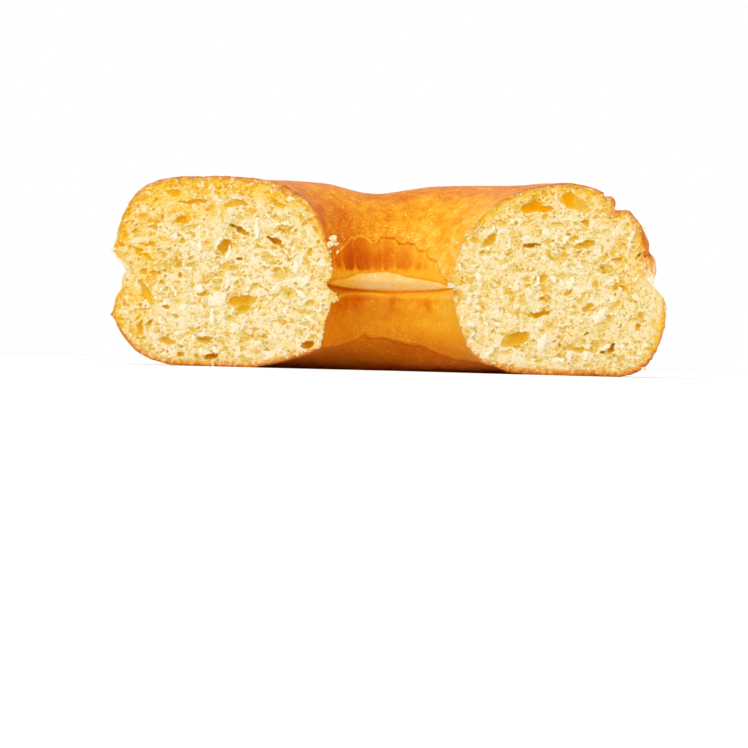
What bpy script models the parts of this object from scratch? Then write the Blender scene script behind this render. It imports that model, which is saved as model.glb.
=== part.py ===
"""Half of a yeast-raised ring doughnut, cut straight through and lying flat, with its two cut faces to -Y.

The half ring is one solid. Its section is spun half a turn about the ring's axis and passes from the form of
the right cut face to that of the left one. The cut faces close it, and the larger pores of the crumb are cut
into them. Sizes are in millimetres and become metres when a mesh is made. +X is right, +Z is up, and the
half rests on z = 0.
"""

import math

import bmesh
import bpy
from mathutils import Matrix, Vector, noise

NAME = "ring_doughnut_half"
MM = 0.001

# The ring's axis stands in the plane of the cut, which is half the half ring's depth in front of the origin.
OUTER_RADIUS = 45.0
CUT_Y = -OUTER_RADIUS / 2

# The outline of the section, from the crease in the wall of the hole up over the crown and back under the
# base. Each point is (distance from the ring's axis, height), on the right cut face and then on the left one.
OUTLINE = {
    "crease": ((10.8, 13.4), (10.8, 13.3)),
    "pale lip": ((10.1, 14.8), (9.8, 14.8)),
    "inner wall": ((10.7, 18.2), (9.8, 17.8)),
    "inner shoulder": ((12.1, 22.0), (10.9, 22.0)),
    "inner crown": ((14.6, 25.8), (13.0, 26.4)),
    "crown start": ((19.2, 29.1), (17.2, 29.5)),
    "crown": ((26.0, 31.0), (23.5, 30.7)),
    "crown end": ((31.6, 30.9), (31.0, 30.8)),
    "outer crown": ((36.6, 28.7), (37.6, 30.1)),
    "outer shoulder": ((40.4, 25.0), (42.0, 27.6)),
    "outer wall": ((42.7, 20.3), (44.8, 22.0)),
    "waist top": ((43.3, 17.2), (45.0, 17.2)),
    "waist": ((42.9, 15.0), (43.4, 13.9)),
    "waist foot": ((44.4, 13.0), (44.5, 11.4)),
    "lower wall": ((44.8, 10.2), (45.0, 8.6)),
    "outer heel": ((43.9, 5.6), (43.3, 4.6)),
    "heel foot": ((41.6, 1.7), (39.6, 1.2)),
    "base end": ((37.6, 0.0), (35.4, 0.0)),
    "base": ((30.3, 0.0), (29.6, 0.0)),
    "base start": ((24.6, 0.0), (23.8, 0.0)),
    "inner heel": ((18.6, 1.4), (17.2, 1.5)),
    "fold": ((13.7, 4.4), (12.2, 3.6)),
    "lower inner wall": ((11.1, 8.2), (10.8, 7.4)),
    "lower lip": ((10.2, 12.0), (9.5, 11.8)),
}

# Forms that change along the ring, which runs from 0 degrees at the right cut face to 180 at the left one:
# the crown swells behind the cut and dips in one place, and the fold under the hole stands higher there.
CROWN_HEIGHT = 31.0
SWELL_START = 14.0
CROWN_SWELL = 0.8
DENT_ANGLE = 98.0
DENT_HALF_WIDTH = 13.0
DENT_DEPTH = 1.3
FOLD_RISE = 1.5
FOLD_CENTRE = (13.0, 4.0)
FOLD_REACH = 5.5

# Gentle waves all over the crust, except on the flat that the half rests on.
WAVE_SIZE = 14.0
WAVE_HEIGHT = 0.35
FLAT_BELOW = 0.01

# Fineness of the crust's mesh
POINT_SPACING = 1.85
RING_STEPS = 38

# The cut faces: rings of crumb about this middle, each point a little proud or a little deep.
FACE_RINGS = 5
FACE_MIDDLE = (27.5, 15.5)
FACE_ROUGHNESS = 0.22
LUMP_SIZE = 2.6

# The larger pores that the cut opened, as (x, height, length, width, tilt in degrees from +X).
LEFT_PORES = (
    (-34.4, 23.6, 3.0, 1.9, 20), (-27.0, 19.6, 3.6, 2.2, 30), (-24.7, 22.2, 4.1, 1.1, -32),
    (-18.7, 20.5, 3.8, 1.3, -30), (-35.3, 28.0, 2.2, 1.6, 0), (-32.4, 26.7, 5.0, 1.2, 0),
    (-25.6, 26.8, 5.5, 1.6, 10), (-18.6, 26.6, 3.0, 1.3, -25), (-39.5, 15.3, 3.2, 2.0, 0),
    (-41.6, 21.4, 2.0, 1.5, 20), (-40.3, 17.9, 3.8, 1.0, -25), (-39.4, 11.5, 5.0, 1.7, -55),
    (-30.3, 11.7, 2.2, 1.3, 0), (-40.3, 5.7, 3.1, 1.2, 80), (-30.1, 4.2, 2.2, 1.5, 15),
    (-35.9, 3.7, 3.8, 1.9, 0), (-24.2, 10.5, 5.2, 2.5, 15), (-15.4, 11.6, 5.2, 2.3, -20),
    (-13.4, 18.9, 2.0, 1.0, 80), (-17.9, 22.8, 2.2, 1.2, 0), (-25.7, 16.0, 2.0, 1.3, 0),
    (-28.9, 2.3, 2.6, 1.1, 0), (-20.4, 5.0, 2.6, 1.3, -10), (-32.6, 16.0, 2.4, 1.2, 40),
    (-13.4, 3.9, 2.2, 1.6, 25), (-22.0, 13.4, 1.8, 1.2, 0), (-36.2, 19.4, 2.0, 1.2, 30),
)
RIGHT_PORES = (
    (23.1, 27.0, 5.2, 2.0, 15), (30.3, 27.8, 5.2, 2.3, -35), (31.5, 24.9, 2.0, 1.2, 0),
    (31.3, 21.3, 4.2, 1.3, 20), (15.6, 21.3, 3.6, 1.8, 40), (22.4, 20.8, 3.0, 1.1, 5),
    (24.3, 15.6, 3.0, 1.7, 30), (23.9, 9.6, 4.6, 1.5, 10), (20.5, 5.7, 6.2, 2.2, 20),
    (18.7, 3.5, 3.6, 1.4, 10), (34.1, 7.7, 5.3, 2.3, 45), (36.0, 4.4, 2.8, 1.3, 70),
    (36.8, 19.0, 2.6, 1.2, 20), (36.2, 11.2, 3.2, 1.4, 50), (30.5, 4.2, 4.6, 1.2, 5),
    (40.2, 19.9, 2.4, 1.2, 40), (28.1, 19.4, 1.8, 1.5, 0), (31.8, 10.8, 2.0, 1.5, 0),
    (28.8, 13.4, 2.2, 1.2, 30), (19.2, 13.2, 2.2, 1.2, 0), (40.4, 8.2, 2.0, 1.2, 60),
)
# Chips out of the crust's edge on the right face, listed like the pores.
TORN_EDGES = (
    (38.6, 28.0, 2.6, 1.5, -50), (42.4, 23.4, 2.4, 0.9, -62), (42.0, 18.4, 2.0, 1.0, 45),
)
# A pore is an uneven ellipsoid this much deeper than it is wide. Its corners stand out from its listed size.
PORE_DEPTH = 0.8
PORE_SWELL = 1.12
PORE_ROUGHNESS = 0.4
PORE_LUMPS = 1.7
BIG_PORE = 4.3

CRUST, CRUMB = 0, 1

CRUST_COLOUR = (0.76, 0.33, 0.055, 1.0)
CRUST_ROUGHNESS = 0.42
CRUMB_COLOUR = (0.92, 0.72, 0.32, 1.0)
CRUMB_ROUGHNESS = 0.85


def through(before, start, end, after, share):
    """The point at this share of the way from start to end, on a centripetal Catmull-Rom curve."""
    points = (before, start, end, after)
    knots = [0.0]
    for one, other in zip(points, points[1:]):
        knots.append(knots[-1] + math.sqrt((other - one).length))
    at = knots[1] + share * (knots[2] - knots[1])
    level = list(points)
    for span in (1, 2, 3):
        level = [
            level[i].lerp(level[i + 1], (at - knots[i]) / (knots[i + span] - knots[i]))
            for i in range(len(level) - 1)
        ]
    return level[0]


def section(corners, steps):
    """The closed outline through these corners, with so many steps from each corner to the next."""
    count = len(corners)
    points = []
    for i in range(count):
        around = [corners[(i + k) % count] for k in (-1, 0, 1, 2)]
        points += [through(*around, step / steps[i]) for step in range(steps[i])]
    return [Vector((point.x, max(point.y, 0.0))) for point in points]


def both_sections():
    """The right and the left outline, with the same number of points from each corner to the next."""
    right, left = ([Vector(pair[side]) for pair in OUTLINE.values()] for side in (0, 1))
    spans = [(right[(i + 1) % len(right)] - right[i]).length for i in range(len(right))]
    steps = [max(1, round(span / POINT_SPACING)) for span in spans]
    return section(right, steps), section(left, steps)


def along_ring(point, angle):
    """A point of the section with the forms that change along the ring."""
    if point.y < FLAT_BELOW:
        return point
    off_dent = (math.degrees(angle) - DENT_ANGLE) / DENT_HALF_WIDTH
    swell = CROWN_SWELL * math.sin(angle) - DENT_DEPTH * math.exp(-(off_dent**2))
    share = max(0.0, (point.y - SWELL_START) / (CROWN_HEIGHT - SWELL_START))
    off_fold = (point - Vector(FOLD_CENTRE)).length / FOLD_REACH
    rise = FOLD_RISE * math.sin(angle) ** 2 * math.exp(-(off_fold**2))
    return Vector((point.x, point.y + swell * share + rise))


def skin(right, left):
    """The crust of the half ring, open at both cut faces."""
    bm = bmesh.new()
    place = bm.verts.layers.int.new("place in the outline")
    first = bmesh.ops.create_circle(bm, segments=len(right), radius=1.0)["verts"]
    for index, (vert, point) in enumerate(zip(first, right)):
        vert.co = (point.x, 0.0, point.y)
        vert[place] = index
    outline = list(bm.edges)
    bmesh.ops.spin(bm, geom=outline, cent=(0, 0, 0), axis=(0, 0, 1), angle=math.pi, steps=RING_STEPS)
    for vert in bm.verts:
        angle = math.atan2(max(vert.co.y, 0.0), vert.co.x)
        turned = 0.5 - 0.5 * math.cos(angle)
        point = along_ring(right[vert[place]].lerp(left[vert[place]], turned), angle)
        vert.co = (point.x * math.cos(angle), point.x * math.sin(angle), point.y)
    return bm


def add_waves(bm):
    """Gentle unevenness of the crust, which keeps the cuts in their plane and the flat base on the table."""
    bm.normal_update()
    for vert in [each for each in bm.verts if each.co.z > FLAT_BELOW]:
        push = vert.normal * (WAVE_HEIGHT * noise.noise(vert.co / WAVE_SIZE))
        if vert.is_boundary:
            push.y = 0.0
        vert.co += push
        vert.co.z = max(vert.co.z, 0.0)


def close_cut(bm, side):
    """Closes one cut face with rings of crumb that stand a little proud or lie a little deep."""
    rim = [edge for edge in bm.edges if edge.is_boundary and edge.verts[0].co.x * side > 0]
    middle = Vector((side * FACE_MIDDLE[0], 0.0, FACE_MIDDLE[1]))
    before = set(bm.faces)
    for ring in range(FACE_RINGS):
        grown = bmesh.ops.extrude_edge_only(bm, edges=rim)["geom"]
        verts = [item for item in grown if isinstance(item, bmesh.types.BMVert)]
        rim = [item for item in grown if isinstance(item, bmesh.types.BMEdge) and item.is_boundary]
        left_over = 1 - 1 / (FACE_RINGS + 1 - ring)
        bmesh.ops.scale(bm, vec=(left_over,) * 3, verts=verts, space=Matrix.Translation(-middle))
        for vert in verts:
            vert.co.y = FACE_ROUGHNESS * noise.noise(vert.co / LUMP_SIZE)
    last = bmesh.ops.contextual_create(bm, geom=rim)["faces"]
    bmesh.ops.poke(bm, faces=last)
    for face in set(bm.faces) - before:
        face.material_index = CRUMB


def pores(bm, listed):
    """One rough ellipsoid for each pore, centred in the plane of the cut."""
    for x, height, length, width, tilt in listed:
        finer = 2 if length > BIG_PORE else 1
        made = bmesh.ops.create_icosphere(bm, subdivisions=finer, radius=PORE_SWELL)["verts"]
        turn = Matrix.Rotation(-math.radians(tilt), 4, "Y")
        size = Matrix.Diagonal((length / 2, width * PORE_DEPTH, width / 2, 1.0))
        for vert in made:
            vert.co *= 1 + PORE_ROUGHNESS * noise.noise(vert.co * PORE_LUMPS + Vector((x, height, 0.0)))
        bmesh.ops.transform(bm, matrix=Matrix.Translation((x, 0.0, height)) @ turn @ size, verts=made)


def material(name, colour, roughness):
    made = bpy.data.materials.new(name)
    made.use_nodes = True
    shader = made.node_tree.nodes["Principled BSDF"]
    shader.inputs["Base Color"].default_value = colour
    shader.inputs["Roughness"].default_value = roughness
    shader.inputs["Metallic"].default_value = 0.0
    return made


def add_object(name, bm, materials, collection):
    """An object of this mesh, moved from the ring's own axis to the part's origin."""
    bmesh.ops.recalc_face_normals(bm, faces=bm.faces)
    bmesh.ops.translate(bm, vec=(0.0, CUT_Y, 0.0), verts=bm.verts)
    bmesh.ops.scale(bm, vec=(MM, MM, MM), verts=bm.verts)
    mesh = bpy.data.meshes.new(name)
    bm.to_mesh(mesh)
    bm.free()
    for each in materials:
        mesh.materials.append(each)
    made = bpy.data.objects.new(name, mesh)
    collection.objects.link(made)
    return made


def new_collection(name):
    made = bpy.data.collections.new(name)
    bpy.context.scene.collection.children.link(made)
    return made


def main():
    for old in list(bpy.data.objects):
        bpy.data.objects.remove(old)
    materials = (
        material("fried crust", CRUST_COLOUR, CRUST_ROUGHNESS),
        material("crumb", CRUMB_COLOUR, CRUMB_ROUGHNESS),
    )
    parts = new_collection(NAME)
    cutters = new_collection("cutters")
    cutters.hide_render = True

    body = skin(*both_sections())
    for face in body.faces:
        face.smooth = True
    add_waves(body)
    close_cut(body, side=1)
    close_cut(body, side=-1)
    half = add_object(NAME, body, materials, parts)

    hollows = bmesh.new()
    pores(hollows, LEFT_PORES + RIGHT_PORES + TORN_EDGES)
    for face in hollows.faces:
        face.material_index = CRUMB
    opened = add_object("pores", hollows, materials, cutters)
    opened.hide_render = True
    opened.display_type = "WIRE"

    cut = half.modifiers.new("pores", "BOOLEAN")
    cut.operation = "DIFFERENCE"
    cut.solver = "EXACT"
    cut.use_self = True
    cut.object = opened


main()
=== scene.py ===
"""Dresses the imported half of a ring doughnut: fried crust, two faces of open crumb, loose crumbs and a stage.

Lengths are in millimetres about the ring's own axis while a mesh is shaped. add_piece then moves it to the
part's origin and into metres. Angles along the ring run from 0 degrees at the right cut face to 180 at the
left one.
"""

import functools
import math
import random

import bmesh
import bpy
import numpy as np
from bpy.props import FloatProperty, FloatVectorProperty, IntProperty, PointerProperty
from mathutils import Matrix, Vector, noise


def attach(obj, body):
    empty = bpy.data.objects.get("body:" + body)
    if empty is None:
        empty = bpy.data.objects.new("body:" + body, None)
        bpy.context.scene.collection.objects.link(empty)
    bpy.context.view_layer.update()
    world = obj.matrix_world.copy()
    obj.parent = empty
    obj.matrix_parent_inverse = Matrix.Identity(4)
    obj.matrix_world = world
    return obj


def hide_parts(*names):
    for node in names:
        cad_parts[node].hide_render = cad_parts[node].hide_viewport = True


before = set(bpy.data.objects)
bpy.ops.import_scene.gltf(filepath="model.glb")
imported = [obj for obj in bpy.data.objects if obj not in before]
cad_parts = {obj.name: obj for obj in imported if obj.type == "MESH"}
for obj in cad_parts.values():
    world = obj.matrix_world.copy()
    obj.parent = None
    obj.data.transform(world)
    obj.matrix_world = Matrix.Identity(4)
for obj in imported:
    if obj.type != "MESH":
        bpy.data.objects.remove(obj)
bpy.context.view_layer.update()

bl_info = {
    "name": "Ring Doughnut Half",
    "version": (1, 0, 0),
    "blender": (4, 5, 0),
    "location": "3D View > Sidebar > Doughnut",
    "description": "Builds the fried crust, open crumb and loose crumbs of a cut ring doughnut",
    "category": "Add Mesh",
}

NODE = "ring_doughnut_half"
MM = 0.001

# ----------------------------------------------------------------
# The ring and its section: the solid's, with a sharper inner heel and a deeper, wider dent in the crown

OUTER_RADIUS = 45.0
CUT_Y = -OUTER_RADIUS / 2

# The outline of the section, from the crease in the wall of the hole up over the crown and back under the
# base: (distance from the ring's axis, height) on the right cut face, the same on the left one, and how far
# the dough there is browned, from 0, raw and pale, to 1, dark brown.
OUTLINE = {
    "crease": ((10.8, 13.4), (10.8, 13.3), 0.50),
    "pale lip": ((10.1, 14.8), (9.8, 14.8), 0.45),
    "inner wall": ((10.7, 18.2), (9.8, 17.8), 0.48),
    "inner shoulder": ((12.1, 22.0), (10.9, 22.0), 0.50),
    "inner crown": ((14.6, 25.8), (13.0, 26.4), 0.54),
    "crown start": ((19.2, 29.1), (17.2, 29.5), 0.59),
    "crown": ((26.0, 31.0), (23.5, 30.7), 0.64),
    "crown end": ((31.6, 30.9), (31.0, 30.8), 0.66),
    "outer crown": ((36.6, 28.7), (37.6, 30.1), 0.64),
    "outer shoulder": ((40.4, 25.0), (42.0, 27.6), 0.58),
    "outer wall": ((42.7, 20.3), (44.8, 22.0), 0.46),
    "waist top": ((43.3, 17.2), (45.0, 17.2), 0.12),
    "waist": ((42.9, 15.0), (43.4, 13.9), 0.00),
    "waist foot": ((44.4, 13.0), (44.5, 11.4), 0.20),
    "lower wall": ((44.8, 10.2), (45.0, 8.6), 0.52),
    "outer heel": ((43.9, 5.6), (43.3, 4.6), 0.68),
    "heel foot": ((41.6, 1.7), (39.6, 1.2), 0.76),
    "base end": ((37.6, 0.0), (35.4, 0.0), 0.78),
    "base": ((30.3, 0.0), (29.6, 0.0), 0.76),
    "base start": ((22.0, 0.0), (23.6, 0.0), 0.78),
    "inner heel": ((17.0, 0.9), (16.6, 1.4), 0.80),
    "fold": ((12.9, 3.8), (11.5, 3.3), 0.74),
    "lower inner wall": ((11.1, 8.2), (10.6, 7.4), 0.60),
    "lower lip": ((10.2, 12.0), (9.5, 11.8), 0.60),
}
HOLE_WALL = ("fold", "lower inner wall", "lower lip", "crease", "pale lip", "inner wall", "inner shoulder")
HOLE_RADIUS = 10.3
FACE_MIDDLE = (27.5, 15.5)

CROWN_HEIGHT = 31.0
SWELL_START = 14.0
CROWN_SWELL = 0.8
DENT_ANGLE = 97.0
DENT_HALF_WIDTH = 17.0
DENT_DEPTH = 1.7
FOLD_RISE = 1.5
FOLD_CENTRE = (13.0, 4.0)
FOLD_REACH = 5.5
WAVE_SIZE = 14.0
WAVE_HEIGHT = 0.35
FLAT_BELOW = 0.01

# Fineness of the crust's mesh: finest on the wall of the hole, which has the thin lines.
WALL_SPACING = 0.16
SKIN_SPACING = 0.46
RING_STEPS = 264

# How far behind the cut the crust's recess and the back of the crumb in it lie, how far from the outline the
# crumb stops, and how much narrower its back is.
RECESS_DEPTH = 3.4
CRUMB_BACK = 2.6
CRUMB_MARGIN = 0.06
CRUMB_TAPER = 0.6

# Crust that is thicker than this where it is cut counts as dry. How far from the cut its colour reaches, and
# how speckled the crust is away from the hole.
DRY_THICKNESS = 0.5
CUT_REACH = 0.45
SPECKLES = 0.35

# How the crumb's relief is read for its colour, as painted light and shade: the passes of blur that ridges
# stand out from and their full height, for crests painted lighter and crevices darker, and the drop from
# which the upper wall of a pore gets painted shade, and how much more shades it fully.
BLUR_PASSES = 8
RIDGE_HEIGHT = 0.16
SHADED_DROP = 0.05
FULL_SHADE = 0.22

# Notches in the torn upper edge of the right face, as (distance from the ring's axis, height, depth, size).
NOTCHES = ((34.7, 29.7, 0.8, 0.4), (37.2, 28.1, 1.7, 0.8), (42.5, 20.7, 0.6, 0.9))

# ----------------------------------------------------------------
# Lines across the wall of the hole, as (degrees along the ring, height)

# The ragged edge where the thick upper skin stops.
SKIN_EDGE = (
    (0, 13.9), (20, 14.6), (31, 15.5), (39, 16.7), (45, 18.2), (54, 18.6), (59, 19.9), (67, 20.0), (70, 21.1),
    (84, 21.1), (88, 22.0), (99, 22.0), (102, 21.2), (106, 20.8), (109, 21.3), (117, 22.1), (128, 21.5),
    (138, 20.1), (152, 18.8), (163, 18.2), (180, 17.0),
)
LIP_TOP = (
    (0, 13.8), (20, 13.9), (30, 14.2), (42, 14.8), (53, 15.0), (63, 15.3), (75, 15.5), (82, 16.0), (92, 16.3),
    (101, 16.2), (125, 15.8), (136, 15.1), (159, 14.6), (180, 13.9),
)
CREASE = (
    (0, 13.9), (28, 13.75), (63, 13.3), (82, 13.15), (105, 13.2), (125, 13.35), (144, 13.55), (170, 13.8),
    (180, 13.8),
)
# The lower edge of the smooth strip under the crease.
UNDER_LIP = (
    (0, 12.3), (60, 12.4), (90, 12.4), (105, 12.65), (125, 12.6), (140, 12.4), (155, 11.8), (168, 11.3),
    (180, 11.2),
)
FOLD_LINE = (
    (0, 1.4), (43, 2.3), (54, 3.1), (63, 4.2), (77, 4.6), (86, 5.1), (96, 5.5), (106, 5.4), (112, 6.1),
    (116, 5.4), (122, 4.7), (136, 3.8), (145, 3.7), (180, 3.4),
)

# The pale lines up the browned wall, as (degrees along the ring, half width in degrees, how strong).
PALE_LINES = (
    (162, 3.0, 0.7), (145, 2.2, 0.9), (126, 1.0, 0.45), (107, 2.0, 0.4), (98, 1.4, 0.6), (87, 3.0, 0.7),
    (69, 2.0, 0.7), (60, 1.5, 0.5), (52, 2.6, 0.7), (42, 4.0, 0.9),
)
# The browner blotches under the crease, in the same form.
BLOTCHES = ((133, 17, 0.9), (108, 5, 0.4), (87, 9, 0.7), (53, 6, 0.6))
# How browned the lower wall is, as (depth under the smooth strip's edge, at the right end, at the left end).
# The left end is the browner, partly as painted shade where the wall faces away from the key light.
LOWER_WALL_TONES = (
    (-0.9, 0.34, 0.62), (-0.3, 0.28, 0.58), (-0.12, 0.28, 0.50), (0.0, 0.36, 0.36), (0.15, 0.33, 0.48),
    (0.5, 0.38, 0.65), (1.0, 0.39, 0.70), (1.8, 0.36, 0.67), (3.0, 0.34, 0.61), (5.0, 0.37, 0.58),
    (7.5, 0.48, 0.60), (9.5, 0.50, 0.60),
)

# ----------------------------------------------------------------
# Colours

# The crust, from raw dough to dark brown, by how far it is browned.
CRUST_COLOURS = (
    (0.00, "#F6EAC4"),
    (0.15, "#F3D388"),
    (0.30, "#F3BB30"),
    (0.45, "#EE9F18"),
    (0.60, "#DE800C"),
    (0.72, "#D56900"),
    (0.84, "#C45500"),
    (1.00, "#883400"),
)
# The same where the crust is cut or torn through: drier, and tan rather than orange.
CUT_COLOURS = (
    (0.00, "#F8EFD2"),
    (0.15, "#F4D294"),
    (0.30, "#E9AE5C"),
    (0.48, "#DC903C"),
    (0.66, "#CA772A"),
    (1.00, "#84430F"),
)
# The crumb, darker and more ochre the deeper in a pore, as painted shade; and the same, yellower, as
# painted light where light shines through a thin crust.
CRUMB_COLOURS = (
    (0.00, "#EFE1B8"),
    (0.12, "#E7D08B"),
    (0.28, "#E1BD54"),
    (0.55, "#DAA722"),
    (1.00, "#CA800A"),
)
GLOW_COLOURS = (
    (0.00, "#EFCC67"),
    (0.12, "#EBBC38"),
    (0.28, "#E8AD12"),
    (0.55, "#ECA302"),
    (1.00, "#E18C00"),
)
# White of the torn shreds, also painted on the crests of the crumb, partly as painted light.
TORN_WHITE_AND_CREST_LIGHT = "#F5EBD4"
# Tan of painted shade: the specks that stand for tiny pits, and the upper walls of pores.
PIT_SHADE_TAN = "#B4841E"
FLOOR_WHITE = "#FCFBFA"

# ----------------------------------------------------------------
# What the cut opened and tore. The left face has x below 0, the right one above.

# The larger pores, as (x, height, length, width, tilt in degrees from +X, depth).
PORES = (
    (-34.4, 23.6, 2.4, 1.5, 20, 1.3), (-27.0, 19.6, 3.0, 2.3, 50, 1.7), (-24.7, 22.2, 4.1, 0.9, -32, 1.7),
    (-18.7, 20.5, 3.8, 1.0, -30, 2.1), (-35.3, 28.0, 2.2, 1.4, 0, 0.8), (-32.4, 26.7, 5.0, 0.7, 3, 1.0),
    (-25.6, 26.8, 4.2, 1.2, 10, 1.0), (-18.6, 26.6, 3.0, 1.1, -25, 0.9), (-40.2, 15.1, 1.6, 1.4, 30, 1.0),
    (-41.9, 21.6, 1.5, 1.0, 15, 0.9), (-39.5, 17.4, 3.4, 0.5, -22, 0.7), (-39.4, 11.5, 5.2, 1.3, -59, 0.8),
    (-30.3, 11.7, 2.2, 1.0, 0, 1.0), (-40.5, 5.7, 2.8, 1.4, 80, 1.0), (-30.1, 4.2, 2.2, 1.3, 15, 1.2),
    (-36.2, 3.9, 2.6, 1.3, 0, 1.0), (-24.4, 10.6, 4.7, 2.0, 10, 1.4), (-23.9, 9.6, 2.8, 1.6, 20, 1.2),
    (-16.8, 12.2, 2.9, 1.8, -25, 0.6), (-13.2, 10.7, 2.4, 1.2, 10, 0.7), (-13.4, 18.9, 2.0, 0.9, 80, 0.8),
    (-17.9, 22.8, 2.2, 1.1, 0, 0.6), (-25.7, 16.0, 2.0, 1.1, 0, 0.7), (-28.9, 1.6, 2.5, 1.1, 0, 2.0),
    (-20.4, 5.0, 1.2, 0.9, -10, 1.0), (-13.3, 3.7, 1.9, 1.0, 25, 2.2), (-22.0, 13.4, 1.8, 1.1, 0, 0.7),
    (-34.0, 1.7, 1.3, 0.8, 10, 1.1), (-33.9, 3.0, 0.8, 0.4, -20, 1.6), (-31.4, 1.6, 0.8, 0.6, 0, 0.8),
    (-21.6, 2.3, 1.6, 0.8, 10, 0.6), (-24.8, 17.5, 0.9, 0.7, 0, 1.3), (-34.2, 20.2, 1.2, 0.9, 0, 0.9),
    (-35.0, 16.1, 1.1, 1.0, 0, 0.8), (-44.0, 19.2, 1.2, 0.8, 0, 0.8), (-41.4, 18.5, 1.6, 0.9, -15, 0.9),
    (-39.4, 19.5, 1.4, 0.8, 0, 0.8), (-38.6, 14.9, 1.2, 1.1, -30, 0.9), (-37.3, 13.5, 1.0, 0.8, -50, 0.9),
    (-36.8, 15.4, 0.9, 0.5, -20, 0.8), (-34.4, 14.6, 0.9, 0.7, 0, 0.9), (-35.0, 18.2, 1.2, 1.0, 80, 0.6),
    (-36.6, 12.3, 0.9, 0.7, -40, 0.7), (-36.5, 9.3, 1.3, 0.7, -30, 0.8), (-34.8, 7.9, 1.0, 0.9, 0, 0.7),
    (-39.3, 6.5, 2.0, 0.6, 80, 1.0), (-40.6, 9.6, 0.8, 0.7, 0, 0.7), (-43.2, 9.7, 0.8, 0.7, 0, 0.7),
    (22.5, 27.1, 3.9, 2.1, 18, 1.5), (23.9, 27.0, 4.0, 1.6, -12, 1.2), (28.6, 28.4, 2.6, 2.2, -45, 1.1),
    (30.3, 27.6, 4.4, 2.3, -33, 0.7), (31.5, 24.9, 1.6, 1.0, -35, 1.1), (31.3, 21.4, 3.8, 1.3, 15, 1.3),
    (15.6, 21.3, 3.4, 1.6, 40, 1.1), (22.4, 20.8, 2.8, 0.9, 8, 1.7), (24.3, 15.6, 3.0, 1.7, 30, 0.9),
    (23.9, 9.6, 4.4, 1.1, 10, 1.3), (20.5, 5.7, 5.6, 2.0, 20, 1.3), (18.7, 3.5, 3.6, 1.2, 10, 0.7),
    (34.1, 7.7, 5.0, 2.3, 45, 0.3), (36.0, 4.4, 2.4, 1.0, 70, 1.7), (36.8, 19.0, 2.2, 0.8, 20, 1.0),
    (36.2, 11.2, 3.0, 1.0, 50, 0.5), (30.5, 4.2, 4.4, 0.9, 5, 0.9), (28.1, 19.4, 1.5, 1.5, 0, 0.7),
    (31.8, 10.8, 1.8, 1.2, 20, 0.9), (28.8, 13.4, 1.9, 0.9, 30, 0.8), (19.2, 13.2, 1.8, 1.0, 0, 0.8),
    (40.4, 8.2, 1.3, 0.9, 60, 1.2), (34.6, 3.9, 0.9, 0.7, 0, 1.5), (24.6, 12.4, 1.0, 0.7, 0, 1.2),
    (26.8, 24.6, 2.2, 1.0, -10, 0.7), (40.4, 19.9, 2.6, 0.5, 44, 2.0), (40.8, 22.4, 1.9, 0.7, 80, 1.7),
    (32.0, 6.9, 1.3, 0.5, 10, 1.4),
)

# White shreds that stand up where the crumb tore, as (x, height, length, width, tilt, how far proud), and how
# many small ones are drawn for each face.
SHREDS = (
    (-22.2, 22.4, 3.6, 0.9, 86, 0.45), (-26.8, 18.2, 2.2, 0.9, 80, 0.45), (-28.1, 10.6, 3.0, 2.2, 30, 0.5),
    (-14.5, 12.0, 1.9, 1.2, -30, 0.5), (-16.8, 27.5, 1.9, 1.0, 20, 0.4), (-26.6, 13.9, 2.4, 0.9, 75, 0.35),
    (-29.0, 7.6, 2.8, 1.0, 80, 0.35), (-31.4, 19.5, 2.0, 0.8, 70, 0.3), (-15.6, 16.5, 2.6, 0.8, 78, 0.35),
    (28.4, 22.3, 1.5, 1.1, 80, 0.45), (26.5, 22.3, 1.2, 1.0, 0, 0.4), (38.6, 22.3, 3.4, 0.9, 70, 0.5),
    (24.7, 5.1, 4.0, 1.6, 75, 0.6), (34.2, 10.0, 4.2, 1.2, 52, 0.45), (29.1, 14.8, 2.4, 1.3, 70, 0.4),
    (12.9, 8.0, 1.6, 1.1, 0, 0.4), (15.8, 2.9, 3.2, 1.0, 48, 0.45), (35.3, 4.9, 2.2, 1.0, 20, 0.45),
    (27.5, 2.5, 2.4, 1.1, 10, 0.4), (23.9, 15.4, 2.8, 0.7, 84, 0.35),
)
SMALL_SHREDS = 70

# Crumbs that hang on the cut edges, as (x, height, length, width, tilt, how far in front of the cut).
LOOSE_CRUMBS = (
    (-9.6, 21.2, 1.3, 1.0, 80, 0.3), (-10.0, 20.3, 1.2, 0.9, 20, 0.2), (-9.1, 20.4, 0.8, 0.5, -20, 0.4),
    (-8.8, 19.1, 0.5, 0.3, 60, 0.2), (-10.6, 10.1, 0.6, 0.45, 0, 0.1), (-11.1, 5.3, 0.8, 0.5, 70, 0.1),
    (13.4, 6.2, 0.9, 0.6, 60, 0.2), (10.6, 21.1, 0.45, 0.35, 0, 0.1), (9.6, 14.1, 1.2, 0.6, 10, 0.1),
    (40.9, 24.4, 0.8, 0.3, -40, 0.0), (41.5, 1.5, 0.9, 0.4, -10, 0.0), (44.8, 11.5, 0.8, 0.3, -40, 0.0),
    (-45.2, 18.6, 0.9, 0.5, 40, 0.0),
)


# ----------------------------------------------------------------
# Sums on arrays


def smooth_step(value, low, high):
    """0 below low, 1 above high, and a smooth rise between them."""
    share = np.clip((value - low) / (high - low), 0.0, 1.0)
    return share * share * (3 - 2 * share)


def hump(value, middle, reach):
    """1 in the middle, falling away smoothly on both sides."""
    return np.exp(-(((value - middle) / reach) ** 2))


def blend(one, other, share):
    return one + (other - one) * share


def lumps(points, size, seed=0.0):
    """Smooth noise, from about -1 to 1, at each point of an array of points, with lumps of this size."""
    flat = (points.reshape(-1, 3) / size + seed).tolist()
    values = np.fromiter(map(noise.noise, flat), float, len(flat))
    return values.reshape(points.shape[:-1])


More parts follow.
